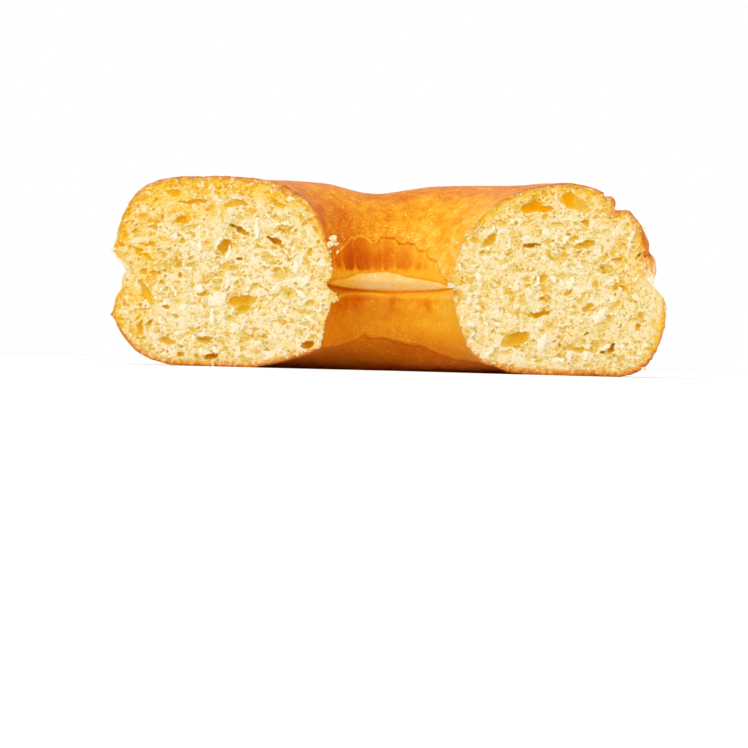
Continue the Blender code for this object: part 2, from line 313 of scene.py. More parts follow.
def roughened(value, points, *layers):
    """The value with lumps of several sizes added, each given as (how strong, size, seed)."""
    for strength, size, seed in layers:
        value = value + strength * lumps(points, size, seed)
    return value


def stacked(*parts):
    """One array of points from arrays of their x, y and z."""
    return np.stack(np.broadcast_arrays(*parts), axis=-1)


# ----------------------------------------------------------------
# The form of the crust


def through(before, start, end, after, share):
    """The point at this share of the way from start to end, on a centripetal Catmull-Rom curve."""
    points = (before, start, end, after)
    knots = [0.0]
    for one, other in zip(points, points[1:]):
        knots.append(knots[-1] + math.sqrt((other - one).length))
    at = knots[1] + share * (knots[2] - knots[1])
    level = list(points)
    for span in (1, 2, 3):
        level = [
            level[i].lerp(level[i + 1], (at - knots[i]) / (knots[i + span] - knots[i]))
            for i in range(len(level) - 1)
        ]
    return level[0]


def outline_steps():
    """How many steps the mesh takes from each corner of the outline to the next."""
    corners = [Vector(right) for right, left, browned in OUTLINE.values()]
    steps = []
    for index, name in enumerate(OUTLINE):
        span = (corners[(index + 1) % len(corners)] - corners[index]).length
        spacing = WALL_SPACING if name in HOLE_WALL else SKIN_SPACING
        steps.append(max(1, round(span / spacing)))
    return steps


def section(side):
    """The closed outline of the right (0) or left (1) cut face. Its last point is its first one again."""
    corners = [Vector(each[side]) for each in OUTLINE.values()]
    count = len(corners)
    points = []
    for index, steps in enumerate(outline_steps()):
        around = [corners[(index + k) % count] for k in (-1, 0, 1, 2)]
        points += [through(*around, step / steps) for step in range(steps)]
    points.append(points[0])
    return np.array([(point.x, max(point.y, 0.0)) for point in points])


def places():
    """Where each point of the outline lies, counted in corners from the crease."""
    at = [index + step / steps for index, steps in enumerate(outline_steps()) for step in range(steps)]
    return np.array(at + [len(OUTLINE)])


def outward(points):
    """The outward normal at each point of the ring's grid."""
    up = np.roll(points[:, :-1], -1, axis=1) - np.roll(points[:, :-1], 1, axis=1)
    up = np.concatenate((up, up[:, :1]), axis=1)
    round_ring = np.gradient(points, axis=0)
    normals = np.cross(up, round_ring)
    return normals / np.linalg.norm(normals, axis=-1, keepdims=True)


@functools.cache
def plain_ring():
    """The solid's form on a fine grid, with one row of points for each step along the ring."""
    angle = np.linspace(0.0, math.pi, RING_STEPS + 1)[:, None]
    degrees = np.degrees(angle)
    turned = 0.5 - 0.5 * np.cos(angle)
    right, left = section(0), section(1)
    reach = blend(right[:, 0], left[:, 0], turned)
    height = blend(right[:, 1], left[:, 1], turned)

    swell = CROWN_SWELL * np.sin(angle) - DENT_DEPTH * hump(degrees, DENT_ANGLE, DENT_HALF_WIDTH)
    share = np.maximum(0.0, (height - SWELL_START) / (CROWN_HEIGHT - SWELL_START))
    off_fold = np.hypot(reach - FOLD_CENTRE[0], height - FOLD_CENTRE[1])
    rise = FOLD_RISE * np.sin(angle) ** 2 * hump(off_fold, 0.0, FOLD_REACH)
    height = np.where(height < FLAT_BELOW, height, height + swell * share + rise)

    points = stacked(reach * np.cos(angle), reach * np.sin(angle), height)
    return degrees, pushed(points, WAVE_HEIGHT * lumps(points, WAVE_SIZE))


def pushed(points, push):
    """The ring's grid with each point moved outwards. The cuts stay in their plane, the base on the table."""
    on_base = points[..., 2] < FLAT_BELOW
    moved = points + outward(points) * np.where(on_base, 0.0, push)[..., None]
    moved[(0, -1), :, 1] = 0.0
    moved[..., 2] = np.maximum(moved[..., 2], 0.0)
    return moved


class Skin:
    """The crust as arrays over the ring's grid: where it is, how browned, with painted shade on the wall of
    the hole, and how speckled.

    corner counts the outline's corners from the crease, and place does so too but is below 0 under it. In
    the sums of this class and the next two, the numbers that a height, reach or distance is compared with
    are millimetres, and one that multiplies a hump, a step or lumps is how strong that is.
    """

    def __init__(self, settings):
        self.degrees, self.points = plain_ring()
        count = len(OUTLINE)
        self.corner = places()[None, :]
        self.place = np.where(self.corner > count / 2, self.corner - count, self.corner)
        self.reach = np.hypot(self.points[..., 0], self.points[..., 1])
        self.height = self.points[..., 2]
        self.on_right = self.degrees < 90
        self.on_left = self.degrees > 90
        self.from_right = np.radians(self.degrees) * self.reach
        self.from_left = math.pi * self.reach - self.from_right
        self.from_cut = np.minimum(self.from_right, self.from_left)
        browned = [each[2] for each in OUTLINE.values()]
        self.browned = np.interp(self.corner, range(count + 1), browned + browned[:1])
        self.browned = np.repeat(self.browned, RING_STEPS + 1, axis=0)
        self.speckled = np.full(self.browned.shape, SPECKLES)
        self.mottled = np.ones(self.browned.shape)
        heel = (1 - smooth_step(self.height, 2.0, 5.0)) * np.where(self.on_right, 2.4, 1.6)
        crown = 0.8 * smooth_step(self.height, 23.0, 28.0)
        self.thickness = settings.crust_thickness / MM * (1 + heel + crown)
        self.cut = hump(self.from_cut, 0.0, CUT_REACH)
        self.mark_torn_edge()
        self.mark_pale_waist()
        wall = WallOfHole(self, settings)
        wall.colour(self)
        push = wall.relief() + self.blisters(settings) + self.waist() + self.frayed(settings)
        self.points = pushed(self.points, push)
        self.pull_in(-self.tips())
        self.tear_right_edge()

    def mark_torn_edge(self):
        """Cut crust that shows wide: torn at the outside of the right face, thick at the left one's hole."""
        torn = smooth_step(self.reach, 33.0, 35.5) * smooth_step(self.height, 14.5, 17.5) * self.on_right
        self.thickness = self.thickness + 0.45 * torn
        torn = torn * (1 - smooth_step(self.from_right, 1.2, 2.6))
        patch = hump(self.height, 22.3, 1.3)
        self.browned = self.browned + torn * (0.12 * patch + 0.24 * hump(self.height, 20.5, 0.5))
        self.cut = np.maximum(self.cut, torn) * (1 - 0.6 * torn * patch)
        at_hole = (1 - smooth_step(self.reach, 17.0, 23.0)) * smooth_step(self.height, 17.5, 20.0)
        self.thickness = self.thickness + 0.55 * at_hole * self.on_left

    def mark_pale_waist(self):
        """The waist at the left face, which is raw and cream-coloured."""
        pale = hump(self.height, 14.8, 2.4) * np.exp(-self.from_left / 9.0) * (self.reach > FACE_MIDDLE[0])
        self.browned = self.browned * (1 - pale)

    def blisters(self, settings):
        """Small blisters of the fried skin, which fade out on the wall of the hole."""
        calm = 1 - 0.6 * hump(self.place, 1.0, 2.5)
        rough = roughened(0.0, self.points, (1.0, 4.5, 3.1), (0.35, 1.6, 7.7), (0.22, 0.7, 1.3))
        return settings.blister_height / MM * calm * rough

    def waist(self):
        """Puckers round the pale waist, where the dough never met the oil."""
        around = hump(self.corner, list(OUTLINE).index("waist"), 1.1)
        puckers = stacked(self.from_right / 1.3, self.height / 5.0, 0.0)
        return around * (0.16 * lumps(puckers, 1.0) + 0.22 * lumps(self.points, 2.2, 5.0))

    def frayed(self, settings):
        """Fine raggedness of the crust where the knife went through."""
        ragged = roughened(0.0, self.points, (1.0, 0.9, 2.2), (0.6, 0.4, 9.1))
        torn = smooth_step(self.reach, 33.0, 37.0) * self.on_right
        return np.exp(-self.from_cut / 0.7) * ragged * (1 + 0.8 * torn) * settings.edge_roughness / MM

    def tips(self):
        """Dough that the knife pulled into the hole beside the crease, and bulges of the left waist."""
        left = 1.4 * np.exp(-(((self.height - 12.4) / 1.15) ** 4)) * hump(self.from_left, 0.0, 1.7)
        right = 0.9 * hump(self.height, 14.0, 0.6) * hump(self.from_right, 0.0, 1.1)
        waist = 0.7 * hump(self.height, 13.7, 0.9) - 1.2 * hump(self.height, 15.9, 0.9)
        waist = waist + 0.45 * hump(self.height, 18.6, 0.6)
        spike = 0.6 * hump(self.height, 8.2, 0.35) * hump(self.from_left, 0.0, 0.9)
        in_hole = self.reach < FACE_MIDDLE[0]
        return np.where(in_hole, left + right, spike + waist * hump(self.from_left, 0.0, 5.0))

    def tear_right_edge(self):
        """The torn upper edge of the right face: notches, and crust that curls round to the front."""
        near_cut = (1 - smooth_step(self.from_right, 7.0, 13.0)) * self.on_right
        for reach, height, depth, size in NOTCHES:
            away = np.hypot(self.reach - reach, self.height - height)
            self.pull_in(depth * hump(away, 0.0, size) * near_cut)
        curl = 1.9 * hump(self.height, 18.3, 2.4) + 0.9 * hump(self.height, 22.6, 1.5)
        curl = curl * smooth_step(self.reach, 37.0, 39.5) * np.clip(1 - self.from_right / 2.2, 0.0, 1.0) ** 2
        self.pull_in(curl * self.on_right)

    def pull_in(self, amount):
        """Moves points towards the middle of the section they are in."""
        reach = np.hypot(self.points[..., 0], self.points[..., 1])
        inward = np.stack((FACE_MIDDLE[0] - reach, FACE_MIDDLE[1] - self.points[..., 2]), axis=-1)
        inward /= np.linalg.norm(inward, axis=-1, keepdims=True)
        angle = np.radians(self.degrees)
        step = stacked(inward[..., 0] * np.cos(angle), inward[..., 0] * np.sin(angle), inward[..., 1])
        self.points = self.points + step * amount[..., None]


class WallOfHole:
    """The wall of the hole: the thick upper skin, the bare wall under its edge, the pale lip and the fold."""

    def __init__(self, skin, settings):
        self.height = skin.height
        self.degrees = skin.degrees
        self.left = skin.degrees / 180
        self.here = smooth_step(skin.place, -4.6, -4.0) * (1 - smooth_step(skin.place, 4.0, 5.2))
        self.lip_bulge = settings.lip_bulge / MM
        self.crease_depth = settings.crease_depth / MM
        self.edge = self.line(SKIN_EDGE, (0.22, 1.2, 0.0), (0.12, 0.5, 4.0))
        self.crease = self.line(CREASE, (0.06, 2.2, 8.0))
        self.lip_top = self.line(LIP_TOP, (0.08, 1.5, 12.0))
        self.fold = self.line(FOLD_LINE, (0.12, 2.0, 16.0))
        self.under_lip = self.line(UNDER_LIP)
        self.streak = np.zeros(skin.degrees.shape)
        for middle, half_width, strength in PALE_LINES:
            soft = 0.4 * hump(skin.degrees, middle, 3 * half_width)
            line = 0.6 * hump(skin.degrees, middle, half_width) + soft
            self.streak = np.maximum(self.streak, strength * line)
        self.streak = np.clip(self.wobbled(self.streak, (0.32, 0.45, 20.0)), 0.0, 1.0)
        self.blotch = sum(each * hump(skin.degrees, middle, width) for middle, width, each in BLOTCHES)
        away = smooth_step(90 - abs(skin.degrees - 90), 8, 40)
        self.blotch = self.blotch + self.wobbled(0.0, (0.5, 0.9, 24.0)) * away
        self.blotch = self.blotch + 0.7 * lumps(skin.points, 1.3, 26.0)
        self.over_edge = smooth_step(self.height, self.edge - 0.09, self.edge + 0.09)
        self.on_lip = smooth_step(self.height, self.crease + 0.05, self.crease + 0.2)
        self.on_lip = self.on_lip * smooth_step(self.lip_top - self.height, -0.08, 0.08)
        flame_foot = self.wobbled(16.1, (0.3, 1.0, 28.0))
        self.flame = 1 - smooth_step(self.height, flame_foot, flame_foot + 0.7 + 2.6 * self.streak)

    def line(self, corners, *wobbles):
        """The height of a line across the wall, with these wobbles."""
        at, heights = zip(*corners)
        return self.wobbled(np.interp(self.degrees, at, heights), *wobbles)

    def wobbled(self, value, *wobbles):
        """The value with wobbles along the wall added, each given as (how strong, size, seed)."""
        arc = np.radians(self.degrees) * HOLE_RADIUS
        for strength, size, seed in wobbles:
            value = value + strength * lumps(stacked(arc, seed, 0.0), size)
        return value

    def relief(self):
        """How far each point stands out from the solid's smooth wall."""
        above_edge = self.height - self.edge
        skin = 0.17 * self.over_edge * np.exp(-np.maximum(above_edge, 0.0) / 4.0)
        inner = (self.height - self.crease) / np.maximum(self.lip_top - self.crease, 0.1)
        inner = np.clip(inner, 0.0, 1.0)
        lip = self.lip_bulge * np.sqrt(4 * inner * (1 - inner)) * np.minimum(1.0, self.lip_top - self.crease)
        crease = self.crease_depth * hump(self.height, self.crease - 0.05, blend(0.12, 0.2, self.left))
        crease = crease * smooth_step(np.minimum(self.degrees, 180 - self.degrees), 0.0, 15.0)
        crease = crease * blend(0.35, 1.0, smooth_step(self.left, 0.25, 0.75))
        under_lip = 0.16 * hump(self.height, self.under_lip - 0.1, 0.35)
        bare = (1 - self.over_edge) * smooth_step(self.height, self.lip_top, self.lip_top + 0.5)
        flutes = 0.08 * bare * self.streak
        fold = -0.20 * (1 - smooth_step(self.height, self.fold - 0.35, self.fold))
        fold = fold * smooth_step(self.height, self.fold - 3.0, self.fold - 1.0)
        fold = fold + 0.14 * hump(self.height, self.fold + 0.3, 0.4)
        return self.here * (skin + lip - crease + under_lip + flutes + fold)

    def colour(self, skin):
        """How browned and how speckled the wall is, from its top to its foot. It carries painted shade too:
        browner towards the left end, which faces away from the key light, partly the dough's own browning and
        partly painted shade, and thin darker lines of painted shade over the lip, in the crease and at the
        fold.
        """
        left = self.left
        # Browner towards the left end: partly the dough's own browning, partly painted shade where the wall
        # faces away from the key light.
        bare = blend(blend(0.44, 0.66, smooth_step(left, 0.2, 0.55)), 0.82, smooth_step(left, 0.55, 0.72))
        # Paler along the pale lines, darker towards the foot of the bare wall and lighter just under the skin's
        # edge.
        bare = bare - 0.16 * self.streak + 0.14 * (smooth_step(self.edge - self.height, 0.3, 3.0) - 0.5)
        browned = blend(bare, blend(0.30, 0.46, left), self.flame)
        # Painted shadow: a thin darker line along the top of the pale lip, at the step to the wall above it.
        line = hump(self.height, self.lip_top + 0.14, 0.2)
        browned = blend(browned, blend(0.44, 0.56, left), 0.8 * line)
        browned = blend(browned, blend(0.19, 0.36, smooth_step(left, 0.5, 1.0)), self.on_lip)

        depth = self.under_lip - self.height
        lower = blend(*self.lower_tones(depth), smooth_step(left, 0.05, 0.85))
        lower = lower + 0.17 * (self.blotch - 0.3) * hump(depth, 1.2, 1.3)
        browned = blend(lower, browned, smooth_step(self.height, self.crease - 0.1, self.crease + 0.05))

        # Painted shade: a darker line in the crease under the lip.
        crease = hump(self.height, self.crease - 0.05, blend(0.10, 0.22, left))
        browned = blend(browned, blend(0.52, 0.74, smooth_step(left, 0.1, 0.7)), 0.8 * crease)
        skin_here = blend(0.34, 0.67, smooth_step(left, 0.08, 0.92))
        browned = blend(browned, skin_here, self.over_edge)
        brown_line = hump(self.height, self.edge, 0.12) * (1 - smooth_step(left, 0.52, 0.60))
        tufts = 0.4 + 0.9 * np.clip(lumps(skin.points, 0.7, 5.5) + 0.2, 0.0, 1.0)
        pale_line = tufts * hump(self.height, self.edge + 0.1, 0.18) * smooth_step(left, 0.54, 0.62)
        browned = browned + 0.26 * brown_line - 0.42 * pale_line
        below = 1 - smooth_step(self.height, self.fold - 0.3, self.fold + 0.05)
        # Browner under the fold; the thin darker line along the fold itself is painted shade.
        browned = blend(browned, 0.64, below) + 0.12 * hump(self.height, self.fold - 0.1, 0.16)
        above_edge = np.maximum(self.height - self.edge, 0.0)
        wrinkles = np.sin(12 * (self.height - self.edge) + 4 * lumps(skin.points, 1.6, 6.5))
        wrinkles = wrinkles * self.over_edge * np.exp(-above_edge / 1.8)
        browned = browned + 0.06 * wrinkles * (1 - 0.6 * smooth_step(left, 0.5, 0.7))

        skin.browned = blend(skin.browned, browned, self.here)
        above = (0.3 + 0.35 * np.exp(-above_edge / 2.0)) * blend(0.5, 1.0, smooth_step(left, 0.25, 0.5))
        near_fold = smooth_step(self.fold + 3.0 - self.height, 0.0, 3.0)
        speckled = blend(0.13 + 0.17 * near_fold, above, self.over_edge)
        skin.speckled = blend(skin.speckled, speckled, self.here)
        skin.mottled = blend(skin.mottled, blend(0.35, 1.0, self.over_edge), self.here)
        skin.thickness = skin.thickness * (1 - 0.5 * self.here * smooth_step(skin.place, -3.6, -2.6))

    @staticmethod
    def lower_tones(depth):
        """How browned the lower wall is at its right and at its left end."""
        depths, on_right, on_left = zip(*LOWER_WALL_TONES)
        return np.interp(depth, depths, on_right), np.interp(depth, depths, on_left)


# ----------------------------------------------------------------
# The crumb of a cut face


class CrumbFace:
    """One cut face as a raster of how deep the crumb lies and how it is coloured."""

    def __init__(self, side, outline, settings):
        self.draw = random.Random(settings.seed + side)
        self.side = side
        self.cell = settings.grain / MM
        low, high = outline.min(axis=0), outline.max(axis=0)
        self.xs = np.arange(low[0], high[0] + self.cell, self.cell)
        self.zs = np.arange(low[1], high[1] + self.cell, self.cell)
        self.x, self.z = np.meshgrid(self.xs, self.zs)
        self.inside = self.distance_inside(outline)
        self.plane = stacked(self.x, 0.0, self.z)
        self.warped_x = roughened(self.x, self.plane, (0.42, 1.9, 11.0), (0.16, 0.65, 13.0))
        self.warped_z = roughened(self.z, self.plane, (0.42, 1.9, 17.0), (0.16, 0.65, 19.0))
        self.ragged = roughened(0.0, self.plane, (1.0, 0.7, 21.0), (0.6, 0.32, 22.0))
        self.torn = 0.8 * smooth_step(lumps(self.plane, 1.5, 27.0) + 0.4 * self.ragged, 0.25, 0.55)
        self.torn = np.maximum(self.torn, self.strands())
        self.hollow = self.small_cells() * (1 - 0.75 * self.torn)
        self.open_pores(settings)
        self.raise_shreds()
        rough = roughened(0.0, self.plane, (0.18, 2.6, 31.0), (0.09, 0.9, 37.0), (0.07, 0.35, 41.0))
        self.depth = self.hollow * settings.pore_depth + rough - self.raised - 0.12 * self.torn
        self.tuck_in()
        self.ridge = np.clip((self.blurred(self.depth) - self.depth) / RIDGE_HEIGHT, -1.0, 1.0)
        # Painted shade on the upper wall of each pore, under its rim, where the surface drops away.
        drop = self.depth - np.roll(self.depth, -2, axis=0)
        self.shade = np.clip((drop - SHADED_DROP) / FULL_SHADE, 0.0, 1.0)
        self.shade = self.shade * smooth_step(self.hollow, 0.1, 0.4)
        self.colour()

    def distance_inside(self, outline):
        """The distance to the outline, negative outside it."""
        closest = np.full(self.x.shape, np.inf)
        inside = np.zeros(self.x.shape, dtype=bool)
        for (x0, z0), (x1, z1) in zip(outline, outline[1:]):
            run, rise = x1 - x0, z1 - z0
            share = ((self.x - x0) * run + (self.z - z0) * rise) / max(run * run + rise * rise, 1e-9)
            share = np.clip(share, 0.0, 1.0)
            closest = np.minimum(closest, np.hypot(self.x - x0 - share * run, self.z - z0 - share * rise))
            if z0 != z1:
                crosses = ((z0 > self.z) != (z1 > self.z)) & (self.x < x0 + (self.z - z0) * run / rise)
                inside ^= crosses
        return np.where(inside, closest, -closest)

    def cells(self, size, seed):
        """Packs the face with uneven cells: the distance to their walls and a number drawn for each cell."""
        draw = np.random.default_rng(seed)
        across, up = self.warped_x / (size * 1.15), self.warped_z / (size * 0.9)
        across, up = across - across.min() + 2, up - up.min() + 2
        shape = int(up.max()) + 3, int(across.max()) + 3
        middles, numbers = draw.uniform(0.05, 0.95, (2, *shape)), draw.uniform(0.0, 1.0, shape)
        nearest = np.full(self.x.shape, np.inf)
        second, number = nearest.copy(), np.zeros(self.x.shape)
        for down in (-1, 0, 1):
            for aside in (-1, 0, 1):
                row, column = up.astype(int) + down, across.astype(int) + aside
                away = np.hypot(column + middles[0][row, column] - across, row + middles[1][row, column] - up)
                closer = away < nearest
                second = np.where(closer, nearest, np.minimum(second, away))
                number = np.where(closer, numbers[row, column], number)
                nearest = np.minimum(nearest, away)
        return (second - nearest) * size / 2, number

    def small_cells(self):
        """The foam between the larger pores: cells of four sizes, most of them only dimples.

        Each size is given with its depth, the share of its cells that stay shut, and its seed.
        """
        hollow = np.zeros(self.x.shape)
        sizes = ((2.6, 0.30, 0.25, 3), (1.35, 0.34, 0.25, 5), (0.75, 0.30, 0.40, 7), (0.45, 0.26, 0.50, 9))
        for size, deep, shut, seed in sizes:
            wall, number = self.cells(size, seed)
            open_share = smooth_step(wall + 0.10 * size * self.ragged, 0.02 * size, 0.32 * size)
            hollow = hollow + open_share * deep * smooth_step(number, shut, 1.0)
        return hollow * np.clip(1.0 + 1.2 * lumps(self.plane, 3.0, 25.0), 0.2, 2.0)

    def strands(self):
        """Thin white strands that wind over the face, broken here and there."""
        plane = stacked(self.warped_x, 0.0, self.warped_z)
        coarse = 0.5 * hump(lumps(plane, 1.7, 63.0), 0.0, 0.09)
        fine = 0.35 * hump(lumps(plane, 0.95, 67.0), 0.0, 0.12)
        return np.maximum(coarse, fine) * smooth_step(lumps(plane, 1.2, 71.0), -0.2, 0.3)

    def window(self, x, z, reach):
        """The part of the raster within this reach of a point."""
        first_x, last_x = np.searchsorted(self.xs, (x - reach, x + reach))
        first_z, last_z = np.searchsorted(self.zs, (z - reach, z + reach))
        return slice(first_z, last_z), slice(first_x, last_x)

    def dome(self, x, z, length, width, tilt, raggedness):
        """The raster round an uneven ellipse, and a dome on it: 1 in its middle, 0 at its edge."""
        where = self.window(x, z, length * 0.6 + 1.0)
        row = min(np.searchsorted(self.zs, z), len(self.zs) - 1)
        column = min(np.searchsorted(self.xs, x), len(self.xs) - 1)
        right = self.warped_x[where] - self.warped_x[row, column]
        up = self.warped_z[where] - self.warped_z[row, column]
        turn = math.radians(tilt)
        lengthways = (right * math.cos(turn) + up * math.sin(turn)) / (length / 2)
        across = (up * math.cos(turn) - right * math.sin(turn)) / (width / 2)
        out = np.hypot(lengthways, across) + self.ragged[where] * raggedness / max(width, 0.6)
        return where, np.clip(1 - np.maximum(out, 0.0) ** 2, 0.0, 1.0)

    def open_pores(self, settings):
        """Opens the drawn pores and then the listed ones, which have steeper walls."""
        drawn = [(pore, 0.9) for pore in self.small_pores(settings)]
        large = [(pore, 0.5) for pore in PORES if pore[0] * self.side > 0]
        for (x, z, length, width, tilt, depth), power in drawn + large:
            where, dome = self.dome(x, z, length, width, tilt, 0.3)
            slope = 0.8 + 0.4 * np.clip((self.warped_z[where] - z) / width, -1.0, 1.0)
            bowl = dome**power
            self.hollow[where] = np.maximum(self.hollow[where], depth * slope * bowl)
            self.torn[where] *= 1 - np.minimum(1.0, 2 * bowl)

    def small_pores(self, settings):
        """Seeded pores that fill the space between the listed ones, drawn from medium to tiny.

        A size is how many there are in a square millimetre, the shortest, longest, shallowest and deepest.
        """
        area = self.cell**2 * np.count_nonzero(self.inside > 0)
        crowded = lumps(self.plane, 3.2, 29.0)
        sizes = ((0.15, 0.9, 2.0, 0.3, 0.75), (0.6, 0.45, 0.95, 0.25, 0.6), (1.5, 0.24, 0.48, 0.2, 0.55))
        for per_area, shortest, longest, shallowest, deepest in sizes:
            for _ in range(round(per_area * area * settings.openness)):
                x = self.draw.uniform(self.xs[0], self.xs[-1])
                z = self.draw.uniform(self.zs[0], self.zs[-1])
                column = min(int((x - self.xs[0]) / self.cell), len(self.xs) - 1)
                row = min(int((z - self.zs[0]) / self.cell), len(self.zs) - 1)
                length = self.draw.uniform(shortest, longest)
                share = self.draw.uniform(0.42, 0.85)
                around = math.degrees(math.atan2(z - FACE_MIDDLE[1], x - self.side * FACE_MIDDLE[0])) + 90
                tilt = around + self.draw.gauss(0, 28)
                depth = self.draw.uniform(shallowest, deepest)
                room = self.inside[row, column] > 0.35 + length * 0.4
                if room and self.draw.uniform(-0.4, 0.4) < crowded[row, column]:
                    yield x, z, length, length * share, tilt, depth

    def raise_shreds(self):
        """Stands the listed shreds up, and small ones drawn for the places that have no deep pore."""
        self.raised = np.zeros(self.x.shape)
        shreds = [shred for shred in SHREDS if shred[0] * self.side > 0]
        for _ in range(SMALL_SHREDS):
            x = self.draw.uniform(self.xs[0] + 1, self.xs[-1] - 1)
            z = self.draw.uniform(self.zs[0] + 1, self.zs[-1] - 1)
            length = self.draw.uniform(0.5, 1.6)
            width = length * self.draw.uniform(0.35, 0.8)
            tilt = self.draw.gauss(80, 30)
            proud = self.draw.uniform(0.1, 0.25)
            if self.hollow[self.window(x, z, 0.5)].max(initial=0.0) < 0.5:
                shreds.append((x, z, length, width, tilt, proud))
        for x, z, length, width, tilt, proud in shreds:
            where, dome = self.dome(x, z, length, width, tilt, 0.55)
            swell = dome**0.7
            proud = 0.6 * proud * (1 + 0.5 * self.ragged[where])
            self.raised[where] = np.maximum(self.raised[where], proud * swell)
            self.torn[where] = np.maximum(self.torn[where], swell)
            self.hollow[where] *= 1 - 0.9 * swell

    def tuck_in(self):
        """Lays the rim of the crumb behind the crust's edge, but for frayed bits that cover it."""
        towards_hole = 1 - smooth_step(np.abs(self.x), 14.0, 19.0)
        frayed = roughened(0.0, self.plane, (1.0, 1.1, 51.0), (0.7, 0.5, 53.0))
        thick = 0.35 * (1 - smooth_step(self.z, 2.0, 4.0))
        if self.side < 0:
            thick = thick + 0.5 * smooth_step(self.x, -23.0, -17.0) * smooth_step(self.z, 17.5, 20.0)
        frayed = frayed + blend(-0.35, 0.30, towards_hole) - 1.5 * thick
        at_rim = 1 - smooth_step(self.inside - thick, 0.3, 0.8)
        self.depth = blend(self.depth, blend(0.09, -0.07, smooth_step(frayed, -0.08, 0.08)), at_rim)

    @staticmethod
    def blurred(raster):
        for _ in range(BLUR_PASSES):
            shifted = [np.roll(raster, step, axis) for step in (-1, 1) for axis in (0, 1)]
            raster = (raster + sum(shifted)) / 5
        return raster

    def lit_through(self):
        """How far each place is yellowed by light through the crust, apart from its patches."""
        if self.side < 0:
            at_hole = smooth_step(self.x, -31.0, -25.0)
            top = (1.2 + 0.5 * at_hole) * smooth_step(self.z, 20.0 + 4.5 * at_hole, 27.0 + 1.5 * at_hole)
            outer = 0.8 * smooth_step(-self.x, 34.5, 41.0) * smooth_step(self.z, 3.0, 8.0)
            rim = 0.5 * np.exp(-self.inside / 2.5) * at_hole * smooth_step(self.z, 16.0, 20.0)
            waist = hump(self.x, -40.9, 1.7) * hump(self.z, 15.4, 2.0)
            return np.maximum(np.maximum(top, outer), rim) + waist
        top = smooth_step(self.z, 22.0, 26.0) * (1 - smooth_step(self.x, 30.0, 38.0))
        in_pore = smooth_step(self.hollow, 0.4, 0.9)
        top = top * np.maximum(0.2 + 1.1 * np.exp(-self.inside / 1.4), 1.2 * in_pore)
        outer = 0.6 * smooth_step(self.x, 33.5, 40.0) * smooth_step(self.z, 11.0, 17.0)
        return np.maximum(top, outer) + 0.1 * smooth_step(self.z, 4.0, 8.0)

    def colour(self):
        """Where the crumb glows under a thin crust, where it is dry and white, and its smooth waist."""
        lit = self.lit_through()
        patches = roughened(0.8, stacked(self.x / 2, 0.0, self.z), (0.9, 2.6, 43.0), (0.5, 0.9, 47.0))
        under_crust = np.exp(-self.inside / 0.8)
        streaks = np.clip(1.6 * lumps(self.plane, 2.4, 61.0) - 0.1, 0.0, 1.0)
        outside = np.maximum(smooth_step(np.abs(self.x), 15.0, 20.0), smooth_step(self.z, 20.0, 24.0))
        waist = hump(self.z, 14.8, 2.6) * smooth_step(np.abs(self.x), 38.0, 42.0)
        smooth = waist * np.exp(-self.inside / 2.0)
        self.glow = np.clip(lit * patches + 0.5 * streaks + under_crust, 0.0, 1.0) * (1 - 0.6 * smooth)
        self.torn = self.torn * (1 - 0.8 * under_crust * outside) * (1 - 0.3 * np.clip(lit, 0.0, 1.0))
        self.torn = np.maximum(self.torn * (1 - smooth), 0.45 * smooth)
        self.hollow = self.hollow * (1 - 0.9 * smooth)
        dry_foot = (1 - smooth_step(np.abs(self.x), 19.0, 25.0)) * (1 - smooth_step(self.z, 2.0, 5.5))
        dry_foot = dry_foot * np.clip(0.5 + 0.9 * lumps(self.plane, 1.6, 73.0), 0.0, 1.0)
        self.torn = np.maximum(self.torn, dry_foot * (1 - smooth_step(self.hollow, 0.3, 0.8)))
        self.hollow = self.hollow + 0.6 * np.exp(-self.inside / 0.7) * outside * (1 - waist)


# ----------------------------------------------------------------
# Meshes


def listed(values):
    """An array's numbers in the form that a mesh takes."""
    return np.ascontiguousarray(values, dtype=np.float32).ravel()


def filled_grid(points, **layers):
    """A grid laid on these points, with arrays of one number a point as attributes for the materials."""
    rows, columns = points.shape[:2]
    bm = bmesh.new()
    bmesh.ops.create_grid(bm, x_segments=columns - 1, y_segments=rows - 1, size=1.0)
    mesh = bpy.data.meshes.new("grid")
    bm.to_mesh(mesh)
    mesh.vertices.foreach_set("co", listed(points))
    for name, values in layers.items():
        mesh.attributes.new(name, "FLOAT", "POINT").data.foreach_set("value", listed(values))
    bm.clear()
    bm.from_mesh(mesh)
    bpy.data.meshes.remove(mesh)
    return bm


def grown(bm, edges):
    """Extrudes a boundary, and returns its new edges and points."""
    made = bmesh.ops.extrude_edge_only(bm, edges=edges)["geom"]
    verts = [item for item in made if isinstance(item, bmesh.types.BMVert)]
    rim = [item for item in made if isinstance(item, bmesh.types.BMEdge) and item.is_boundary]
    return rim, verts


def close_loop(bm, rim):
    """Fills a loop of edges with a face, and has it start at the same point in every run."""
    bm.verts.index_update()
    for face in bmesh.ops.contextual_create(bm, geom=rim)["faces"]:
        verts = list(face.verts)
        first = verts.index(min(verts, key=lambda vert: vert.index))
        bm.faces.remove(face)
        bm.faces.new(verts[first:] + verts[:first])


def new_object(name, bm, material):
    """An object of this mesh and material, put in the scene."""
    mesh = bpy.data.meshes.new(name)
    bm.to_mesh(mesh)
    bm.free()
    mesh.materials.append(material)
    made = bpy.data.objects.new(name, mesh)
    bpy.context.scene.collection.objects.link(made)
    return made


